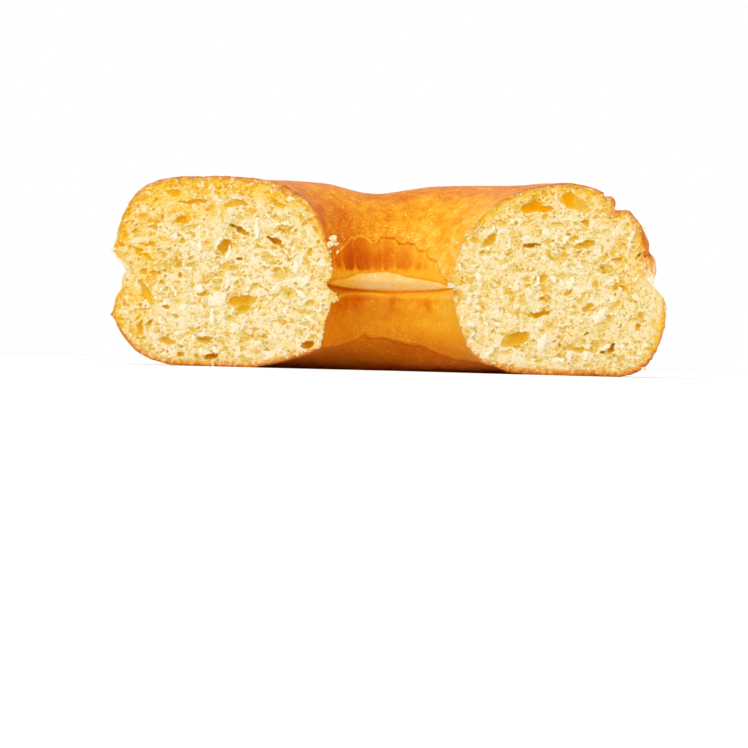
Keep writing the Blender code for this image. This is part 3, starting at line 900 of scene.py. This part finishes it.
def add_piece(name, bm, material):
    """An object that stands for the solid, its mesh moved from the ring's axis to the part's origin."""
    bmesh.ops.recalc_face_normals(bm, faces=bm.faces)
    bmesh.ops.translate(bm, vec=(0.0, CUT_Y, 0.0), verts=bm.verts)
    bmesh.ops.scale(bm, vec=(MM, MM, MM), verts=bm.verts)
    for face in bm.faces:
        face.smooth = True
    # An extrusion makes its faces in another order in each run, so they are put in that of their first edge.
    bm.verts.index_update()
    count = len(bm.verts)
    bm.faces.sort(key=lambda face: face.verts[0].index * count + face.verts[1].index)
    piece = new_object(name, bm, material)
    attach(piece, "root")
    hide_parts(NODE)


def crust_mesh(skin):
    """The grid of the skin, closed into a tube at the crease, with the cut edge of the crust at both ends."""
    names = ("browned", "speckled", "mottled", "cut", "thickness")
    bm = filled_grid(skin.points, **{name: getattr(skin, name) for name in names})
    columns = skin.points.shape[1]
    seam = [vert for vert in bm.verts if vert.index % columns in (0, columns - 1)]
    bmesh.ops.remove_doubles(bm, verts=seam, dist=WALL_SPACING / 8)
    for side in (1, -1):
        close_crust(bm, side)
    return bm


def close_crust(bm, side):
    """The cut edge of the crust, and the floor of the recess behind it that the crumb fills."""
    thickness = bm.verts.layers.float["thickness"]
    browned = bm.verts.layers.float["browned"]
    cut = bm.verts.layers.float["cut"]
    middle = Vector((side * FACE_MIDDLE[0], 0.0, FACE_MIDDLE[1]))
    rim = [edge for edge in bm.edges if edge.is_boundary and edge.verts[0].co.x * side > 0]
    rim, verts = grown(bm, rim)
    for vert in verts:
        ragged = 0.6 * noise.noise(vert.co / 0.9) + 0.5 * noise.noise(vert.co / 0.4)
        uneven = 1 + ragged * (0.5 if vert.co.z < 3.0 else 1.0)
        vert.co += (middle - vert.co).normalized() * vert[thickness] * max(uneven, 0.2)
        vert.co.y = 0.06 * noise.noise(vert.co / 0.6)
        dry = vert[thickness] > DRY_THICKNESS
        vert[browned] *= 0.45 if dry else 0.7
        vert[cut] *= 1.0 if dry else 0.3
    rim, verts = grown(bm, rim)
    for vert in verts:
        vert.co += (middle - vert.co).normalized() * 0.1
        vert.co.y = RECESS_DEPTH
    close_loop(bm, rim)


def crumb_mesh(face):
    """The raster as a relief, cut to the outline and given its back."""
    names = ("hollow", "ridge", "shade", "torn", "glow", "inside")
    relief = stacked(face.x, face.depth, face.z)
    bm = filled_grid(relief, **{name: getattr(face, name) for name in names})
    inside = bm.verts.layers.float["inside"]
    spare = [each for each in bm.faces if min(vert[inside] for vert in each.verts) < CRUMB_MARGIN]
    bmesh.ops.delete(bm, geom=spare, context="FACES")
    rim, verts = grown(bm, [edge for edge in bm.edges if edge.is_boundary])
    middle = Vector((face.side * FACE_MIDDLE[0], 0.0, FACE_MIDDLE[1]))
    for vert in verts:
        vert.co += (middle - vert.co).normalized() * CRUMB_TAPER
        vert.co.y = CRUMB_BACK
    close_loop(bm, rim)
    return bm


def add_crumb(bm, x, height, length, width, tilt, front):
    """One loose crumb: a small ball, squeezed and made uneven."""
    middle = Vector((x, -front, max(height, width / 2)))
    turn = Matrix.Rotation(math.radians(-tilt), 4, "Y")
    squeeze = Matrix.Diagonal((length / 2, width / 2, width / 2, 1.0))
    matrix = Matrix.Translation(middle) @ turn @ squeeze
    made = bmesh.ops.create_icosphere(bm, subdivisions=3, radius=1.0, matrix=matrix)
    torn = bm.verts.layers.float["torn"]
    for vert in made["verts"]:
        uneven = 0.9 * noise.noise(vert.co / (0.8 * width)) + 0.7 * noise.noise(vert.co / (0.35 * width))
        vert.co += (vert.co - middle) * max(uneven, -0.7)
        vert.co.z = max(vert.co.z, 0.0)
        vert[torn] = 0.1 + noise.noise(vert.co / 0.6)


def loose_crumbs(skin, settings):
    """The listed crumbs and seeded smaller ones along both cut edges, most of them at the hole."""
    draw = random.Random(settings.seed)
    bm = bmesh.new()
    bm.verts.layers.float.new("torn")
    for crumb in LOOSE_CRUMBS:
        add_crumb(bm, *crumb)
    for row, side in ((0, 1), (-1, -1)):
        rim = skin.points[row]
        for _ in range(settings.count):
            x, _, height = rim[draw.randrange(len(rim))]
            length = settings.size / MM * (0.35 + 0.65 * draw.random() ** 2)
            if abs(x) > FACE_MIDDLE[0] / 2 and draw.random() < 0.9:
                continue
            inward = Vector((side * FACE_MIDDLE[0] - x, FACE_MIDDLE[1] - height)).normalized() * length * 0.35
            width = length * draw.uniform(0.45, 0.85)
            tilt = draw.uniform(0, 180)
            add_crumb(bm, x + inward.x, height + inward.y, length, width, tilt, draw.uniform(0, 0.1))
    return bm


# ----------------------------------------------------------------
# Materials

# Where a Mix node that is set to colours has its share, its two colours and its result.
SHARE, ONE, OTHER, MIXED = 0, 6, 7, 2


def linear(colour):
    """The linear colour of an sRGB hex value."""
    shares = [int(colour[at : at + 2], 16) / 255 for at in (1, 3, 5)]
    return (*(each / 12.92 if each <= 0.04045 else ((each + 0.055) / 1.055) ** 2.4 for each in shares), 1.0)


def add_node(tree, kind, inputs=None, **settings):
    """Adds a node with its settings, and gives its inputs a value or links them to another node's output."""
    node = tree.nodes.new(kind)
    for name, value in settings.items():
        setattr(node, name, value)
    for key, value in (inputs or {}).items():
        if isinstance(value, bpy.types.NodeSocket):
            tree.links.new(value, node.inputs[key])
        else:
            node.inputs[key].default_value = value
    return node


def new_material(name, surface):
    """A material whose Principled BSDF has this surface, and a node for the piece's own coordinates."""
    made = bpy.data.materials.new(name)
    made.use_nodes = True
    tree = made.node_tree
    shader = tree.nodes["Principled BSDF"]
    for key, value in surface.items():
        shader.inputs[key].default_value = value
    where = add_node(tree, "ShaderNodeTexCoord").outputs["Object"]
    return made, tree, shader, where


def worked_out(tree, where, attributes, grains, spreads, sums):
    """Adds the nodes that work a material's values out from tables, and returns their outputs by name.

    attributes are the mesh's. A grain is noise, as (name, size in millimetres, detail). A spread is the name
    it makes, the one it takes, the range of that, and the range it is spread over. A sum is the name it
    makes, its operation and what it takes, names or numbers.
    """
    values = {}
    for name in attributes:
        values[name] = add_node(tree, "ShaderNodeAttribute", attribute_name=name).outputs["Fac"]
    for name, size, detail in grains:
        inputs = {"Vector": where, "Scale": 1 / (size * MM), "Detail": detail}
        values[name] = add_node(tree, "ShaderNodeTexNoise", inputs).outputs["Fac"]
    for name, taken, *limits in spreads:
        inputs = dict(zip(("From Min", "From Max", "To Min", "To Max"), limits), Value=values[taken])
        values[name] = add_node(tree, "ShaderNodeMapRange", inputs).outputs["Result"]
    for name, operation, one, other in sums:
        inputs = {0: values.get(one, one), 1: values.get(other, other)}
        values[name] = add_node(tree, "ShaderNodeMath", inputs, operation=operation).outputs[0]
    return values


def coloured(tree, values, ramps, mixes):
    """Adds the nodes that turn a material's values into its colour, and returns that.

    A ramp is the name it makes, the value it takes and its (place, hex colour) stops. A mix is the share of
    the other colour, one colour and the other, and makes the "colour" that the next mix can take.
    """
    for name, taken, stops in ramps:
        node = add_node(tree, "ShaderNodeValToRGB", {"Fac": values[taken]})
        elements = node.color_ramp.elements
        while len(elements) < len(stops):
            elements.new(1.0)
        for element, (place, colour) in zip(elements, stops):
            element.position = place
            element.color = linear(colour)
        values[name] = node.outputs["Color"]
    for share, one, other in mixes:
        inputs = {SHARE: values[share], ONE: values[one], OTHER: values.get(other, other)}
        values["colour"] = add_node(tree, "ShaderNodeMix", inputs, data_type="RGBA").outputs[MIXED]
    return values["colour"]


def fried_crust(settings):
    """Fried wheat dough: a thin leathery skin, browned unevenly in hot oil and left faintly greasy.

    It gives the eye golden brown mottled at two sizes, pale pin-prick specks, partly the skin's own blisters
    and partly painted glints, and a broad dull sheen.
    """
    surface = {"Roughness": settings.crust_roughness, "IOR": 1.46, "Specular IOR Level": 0.08}
    made, tree, shader, where = new_material("fried dough crust", surface)
    grains = (
        ("patches", 6.0, 3.0), ("mottle", 1.5, 4.0), ("fine", 0.28, 2.0), ("specks", 0.38, 1.0),
        ("pricks_and_glints", 0.5, 0.0), ("frayed", 0.7, 4.0), ("pimples", 0.9, 2.0), ("grit", 0.3, 2.0),
    )
    spreads = (
        ("patches", "patches", 0.3, 0.7, -0.09, 0.09),
        ("mottle", "mottle", 0.3, 0.7, -0.08, 0.08),
        ("fine", "fine", 0.3, 0.7, -0.13, 0.13),
        ("fine share", "speckled", 0.1, 0.35, 0.30, 0.9),
        # Pale specks and pin-pricks: partly the skin's own small blisters, partly painted glints of its greasy
        # sheen.
        ("specks", "specks", 0.58, 0.67, 0.0, -0.32),
        ("pricks_and_glints", "pricks_and_glints", 0.74, 0.80, 0.0, -0.25),
        ("prick share", "mottled", 0.35, 1.0, 0.6, 1.0),
        ("frayed", "frayed", 0.3, 0.7, -0.18, 0.18),
    )
    sums = (
        ("broad", "ADD", "patches", "mottle"),
        ("broad", "MULTIPLY", "broad", "mottled"),
        ("fine", "MULTIPLY", "fine", "fine share"),
        ("specks", "MULTIPLY", "specks", "speckled"),
        ("pricks_and_glints", "MULTIPLY", "pricks_and_glints", "prick share"),
        ("tone", "ADD", "browned", "broad"),
        ("tone", "ADD", "tone", "fine"),
        ("tone", "ADD", "tone", "specks"),
        ("tone", "ADD", "tone", "pricks_and_glints"),
        ("cut tone", "ADD", "tone", "frayed"),
        ("pimples", "MULTIPLY", "pimples", 0.6),
        ("grit", "MULTIPLY", "grit", 0.4),
        ("relief", "ADD", "pimples", "grit"),
    )
    values = worked_out(tree, where, ("browned", "speckled", "mottled", "cut"), grains, spreads, sums)
    ramps = (("skin", "tone", CRUST_COLOURS), ("tan", "cut tone", CUT_COLOURS))
    tree.links.new(coloured(tree, values, ramps, (("cut", "skin", "tan"),)), shader.inputs["Base Color"])
    bump = {"Height": values["relief"], "Strength": 0.6, "Distance": 0.15 * MM}
    tree.links.new(add_node(tree, "ShaderNodeBump", bump).outputs["Normal"], shader.inputs["Normal"])
    return made


def open_crumb(settings):
    """Yeast-raised crumb, torn open by the cut: dry, soft and full of holes, so that light goes into it.

    It gives the eye matt cream cell walls and white torn shreds, with painted shade: pores darker and more
    ochre with depth, tan under their upper rims and in specks for tiny pits, and crests painted lighter.
    """
    surface = {
        "Roughness": 0.85,
        "IOR": 1.4,
        "Specular IOR Level": 0.05,
        "Subsurface Weight": settings.translucence,
        "Subsurface Radius": (1.0, 0.62, 0.28),
        "Subsurface Scale": 0.6 * MM,
    }
    made, tree, shader, where = new_material("yeast-raised crumb", surface)
    grains = (("fine", 0.7, 3.0), ("crisp", 0.22, 1.0), ("specks", 0.28, 1.0), ("relief", 0.3, 3.0))
    spreads = (
        ("fine", "fine", 0.25, 0.75, -0.10, 0.10),
        ("crisp", "crisp", 0.3, 0.7, -0.09, 0.09),
        ("shallow", "hollow", 0.2, 0.6, 1.0, 0.0),
        ("specks", "specks", 0.67, 0.70, 0.0, 0.7),
        # Crests of the relief painted whiter, partly the crumb's paler cell walls and partly painted light.
        ("pale_and_lit_crests", "ridge", 0.3, 1.0, 0.0, 0.5),
    )
    sums = (
        # Painted shade: the tone grows darker and more ochre deeper in a pore and in crevices, lighter on
        # crests.
        ("tone", "MULTIPLY", "hollow", 0.6),
        ("crest_light_and_crevice_shade", "MULTIPLY", "ridge", -0.08),
        ("tone", "ADD", "tone", "fine"),
        ("tone", "ADD", "tone", "crisp"),
        ("tone", "ADD", "tone", "crest_light_and_crevice_shade"),
        # Painted shade: tan specks for tiny pits outside the larger pores, and tan on the upper walls of pores.
        ("specks", "MULTIPLY", "specks", "shallow"),
        ("shadow", "MULTIPLY", "shade", 0.25),
        ("white", "MULTIPLY", "torn", 0.8),
        ("white", "ADD", "white", "pale_and_lit_crests"),
    )
    values = worked_out(tree, where, ("hollow", "ridge", "shade", "torn", "glow"), grains, spreads, sums)
    ramps = (("plain", "tone", CRUMB_COLOURS), ("glowing", "tone", GLOW_COLOURS))
    mixes = (
        ("glow", "plain", "glowing"),
        ("specks", "colour", linear(PIT_SHADE_TAN)),
        ("shadow", "colour", linear(PIT_SHADE_TAN)),
        ("white", "colour", linear(TORN_WHITE_AND_CREST_LIGHT)),
    )
    tree.links.new(coloured(tree, values, ramps, mixes), shader.inputs["Base Color"])
    bump = {"Height": values["relief"], "Strength": 0.35, "Distance": 0.15 * MM}
    tree.links.new(add_node(tree, "ShaderNodeBump", bump).outputs["Normal"], shader.inputs["Normal"])
    return made


def matt_floor(colour):
    """Matt painted board, sprayed: an even white that takes a soft shadow and shows no gloss."""
    surface = {"Roughness": 0.9, "IOR": 1.45, "Specular IOR Level": 0.1}
    made, tree, shader, where = new_material("matt painted board", surface)
    values = worked_out(tree, where, (), (("fine", 4.0, 2.0),), (("fine", "fine", 0.3, 0.7, 0.99, 1.0),), ())
    inputs = {SHARE: 1.0, ONE: colour, OTHER: values["fine"]}
    shade = add_node(tree, "ShaderNodeMix", inputs, data_type="RGBA", blend_type="MULTIPLY")
    tree.links.new(shade.outputs[MIXED], shader.inputs["Base Color"])
    return made


# ----------------------------------------------------------------
# Settings


class CrustSettings(bpy.types.PropertyGroup):
    """Sizes of the fried skin."""

    blister_height: FloatProperty(
        name="Blister height", description="How far the blisters stand out", default=0.10 * MM, unit="LENGTH"
    )
    lip_bulge: FloatProperty(
        name="Lip bulge", description="How far the pale lip swells out", default=0.35 * MM, unit="LENGTH"
    )
    crease_depth: FloatProperty(
        name="Crease depth", description="How deep the crease is", default=0.35 * MM, unit="LENGTH"
    )
    edge_roughness: FloatProperty(
        name="Edge roughness", description="How ragged the cut crust is", default=0.14 * MM, unit="LENGTH"
    )
    crust_thickness: FloatProperty(
        name="Crust thickness", description="Width of the cut crust", default=0.30 * MM, unit="LENGTH"
    )
    crust_roughness: FloatProperty(
        name="Roughness", description="How dull the skin's sheen is", default=0.48, min=0.0, max=1.0
    )


class CrumbSettings(bpy.types.PropertyGroup):
    """Sizes of the open crumb."""

    grain: FloatProperty(
        name="Grain", description="Finest detail of the mesh", default=0.11 * MM, unit="LENGTH", precision=5
    )
    pore_depth: FloatProperty(
        name="Pore depth", description="Scales the depth of all pores", default=0.5, min=0.1, max=2.0
    )
    openness: FloatProperty(
        name="Openness", description="How many small pores the crumb has", default=1.0, min=0.0, max=2.0
    )
    translucence: FloatProperty(
        name="Translucence", description="How far light spreads in the crumb", default=0.4, min=0.0, max=1.0
    )
    seed: IntProperty(name="Seed", description="Another number draws other small pores", default=11)


class LooseCrumbSettings(bpy.types.PropertyGroup):
    """The crumbs that hang on the cut edges."""

    count: IntProperty(name="Count", description="How many are drawn along each cut", default=28, min=0)
    size: FloatProperty(
        name="Size", description="Length of the largest drawn crumb", default=0.6 * MM, unit="LENGTH"
    )
    seed: IntProperty(name="Seed", description="Another number draws other crumbs", default=5)


class StageSettings(bpy.types.PropertyGroup):
    """Floor, light and camera."""

    floor_colour: FloatVectorProperty(
        name="Floor", description="Colour of the floor", default=linear(FLOOR_WHITE), size=4, subtype="COLOR"
    )
    surround: FloatProperty(
        name="Surround", description="Strength of the white light all round", default=1.0, min=0.0
    )
    key_power: FloatProperty(
        name="Key light", description="Power of the soft light from the upper left", default=3.4, unit="POWER"
    )
    camera_distance: FloatProperty(
        name="Camera distance", description="From the cut faces to the camera", default=0.55, unit="LENGTH"
    )


# ----------------------------------------------------------------
# Operators


class DOUGHNUT_OT_crust(bpy.types.Operator):
    """Add the fried crust of the half ring"""

    bl_idname = "doughnut.crust"
    bl_label = "Crust"

    def execute(self, context):
        settings = context.scene.doughnut_crust
        add_piece("crust", crust_mesh(Skin(settings)), fried_crust(settings))
        return {"FINISHED"}


class DOUGHNUT_OT_crumb(bpy.types.Operator):
    """Add the open crumb of both cut faces"""

    bl_idname = "doughnut.crumb"
    bl_label = "Crumb"

    def execute(self, context):
        settings = context.scene.doughnut_crumb
        skin = Skin(context.scene.doughnut_crust)
        material = open_crumb(settings)
        for name, side, row in (("crumb_right", 1, 0), ("crumb_left", -1, -1)):
            face = CrumbFace(side, skin.points[row][:, (0, 2)], settings)
            add_piece(name, crumb_mesh(face), material)
        return {"FINISHED"}


class DOUGHNUT_OT_loose_crumbs(bpy.types.Operator):
    """Add the crumbs that hang on the cut edges"""

    bl_idname = "doughnut.loose_crumbs"
    bl_label = "Loose Crumbs"

    def execute(self, context):
        crumbs = loose_crumbs(Skin(context.scene.doughnut_crust), context.scene.doughnut_loose)
        add_piece("loose_crumbs", crumbs, open_crumb(context.scene.doughnut_crumb))
        return {"FINISHED"}


# The photograph: where the ring's axis meets the table line, the millimetres in a pixel, how far the picture
# is turned, and how high the eye is over the table.
PHOTO_SIZE = 748
AXIS_PIXEL = (389.0, 371.0)
MM_PER_PIXEL = 0.1627
ROLL = math.radians(1.5)
EYE_HEIGHT = 1.75
SENSOR_WIDTH = 36.0

FLOOR_SIZE = 3.0
KEY_PLACE = (-0.55, -0.75, 0.75)
KEY_SIZE = 0.5
WHITE = (1.0, 1.0, 1.0, 1.0)


class DOUGHNUT_OT_stage(bpy.types.Operator):
    """Add the floor, the lights and the camera"""

    bl_idname = "doughnut.stage"
    bl_label = "Stage"

    def execute(self, context):
        settings = context.scene.doughnut_stage
        self.add_floor(settings)
        self.add_light(settings)
        self.add_camera(settings)
        return {"FINISHED"}

    def add_floor(self, settings):
        bm = bmesh.new()
        bmesh.ops.create_grid(bm, x_segments=1, y_segments=1, size=FLOOR_SIZE)
        floor = new_object("floor", bm, matt_floor(settings.floor_colour))

    def add_light(self, settings):
        scene = bpy.context.scene
        scene.view_settings.view_transform = "Standard"
        world = bpy.data.worlds.new("white surround")
        world.use_nodes = True
        background = world.node_tree.nodes["Background"]
        background.inputs["Color"].default_value = WHITE
        background.inputs["Strength"].default_value = settings.surround
        scene.world = world
        key = bpy.data.lights.new("key", "AREA")
        key.energy = settings.key_power
        key.size = KEY_SIZE
        lamp = bpy.data.objects.new("key", key)
        lamp.location = KEY_PLACE
        lamp.rotation_euler = (-Vector(KEY_PLACE)).to_track_quat("-Z", "Y").to_euler()
        scene.collection.objects.link(lamp)

    def add_camera(self, settings):
        """The photograph's view: level with the table, a little left of the axis and slightly turned."""
        middle = PHOTO_SIZE / 2
        right = (AXIS_PIXEL[0] - middle) * MM_PER_PIXEL * MM
        up = (middle - AXIS_PIXEL[1]) * MM_PER_PIXEL * MM
        aim = Vector((-right * math.cos(ROLL) + up * math.sin(ROLL), CUT_Y * MM, 0.0))
        aim.z = -right * math.sin(ROLL) - up * math.cos(ROLL)
        eye = Vector((aim.x, aim.y - settings.camera_distance, EYE_HEIGHT * MM))
        view = bpy.data.cameras.new("photo view")
        view.sensor_width = SENSOR_WIDTH
        view.lens = SENSOR_WIDTH * settings.camera_distance / (PHOTO_SIZE * MM_PER_PIXEL * MM)
        view.clip_start = 0.01
        camera = bpy.data.objects.new("photo view", view)
        pitch = math.atan2(eye.z - aim.z, settings.camera_distance)
        turn = Matrix.Rotation(-ROLL, 4, "Y") @ Matrix.Rotation(math.pi / 2 - pitch, 4, "X")
        camera.matrix_world = Matrix.Translation(eye) @ turn
        bpy.context.scene.collection.objects.link(camera)
        bpy.context.scene.camera = camera


class DOUGHNUT_PT_panel(bpy.types.Panel):
    """Sidebar panel with the steps and their settings"""

    bl_idname = "DOUGHNUT_PT_panel"
    bl_label = "Ring Doughnut Half"
    bl_space_type = "VIEW_3D"
    bl_region_type = "UI"
    bl_category = "Doughnut"

    def draw(self, context):
        for operator, settings, _ in STEPS:
            box = self.layout.box()
            box.operator(operator.bl_idname)
            group = getattr(context.scene, settings)
            for name in group.bl_rna.properties.keys():
                if name not in ("rna_type", "name"):
                    box.prop(group, name)


STEPS = (
    (DOUGHNUT_OT_crust, "doughnut_crust", CrustSettings),
    (DOUGHNUT_OT_crumb, "doughnut_crumb", CrumbSettings),
    (DOUGHNUT_OT_loose_crumbs, "doughnut_loose", LooseCrumbSettings),
    (DOUGHNUT_OT_stage, "doughnut_stage", StageSettings),
)


def register():
    for operator, settings, group in STEPS:
        bpy.utils.register_class(group)
        setattr(bpy.types.Scene, settings, PointerProperty(type=group))
        bpy.utils.register_class(operator)
    bpy.utils.register_class(DOUGHNUT_PT_panel)


def unregister():
    bpy.utils.unregister_class(DOUGHNUT_PT_panel)
    for operator, settings, group in reversed(STEPS):
        bpy.utils.unregister_class(operator)
        delattr(bpy.types.Scene, settings)
        bpy.utils.unregister_class(group)


def main():
    register()
    bpy.ops.doughnut.crust()
    bpy.ops.doughnut.crumb()
    bpy.ops.doughnut.loose_crumbs()
    bpy.ops.doughnut.stage()


if __name__ == "__main__":
    main()
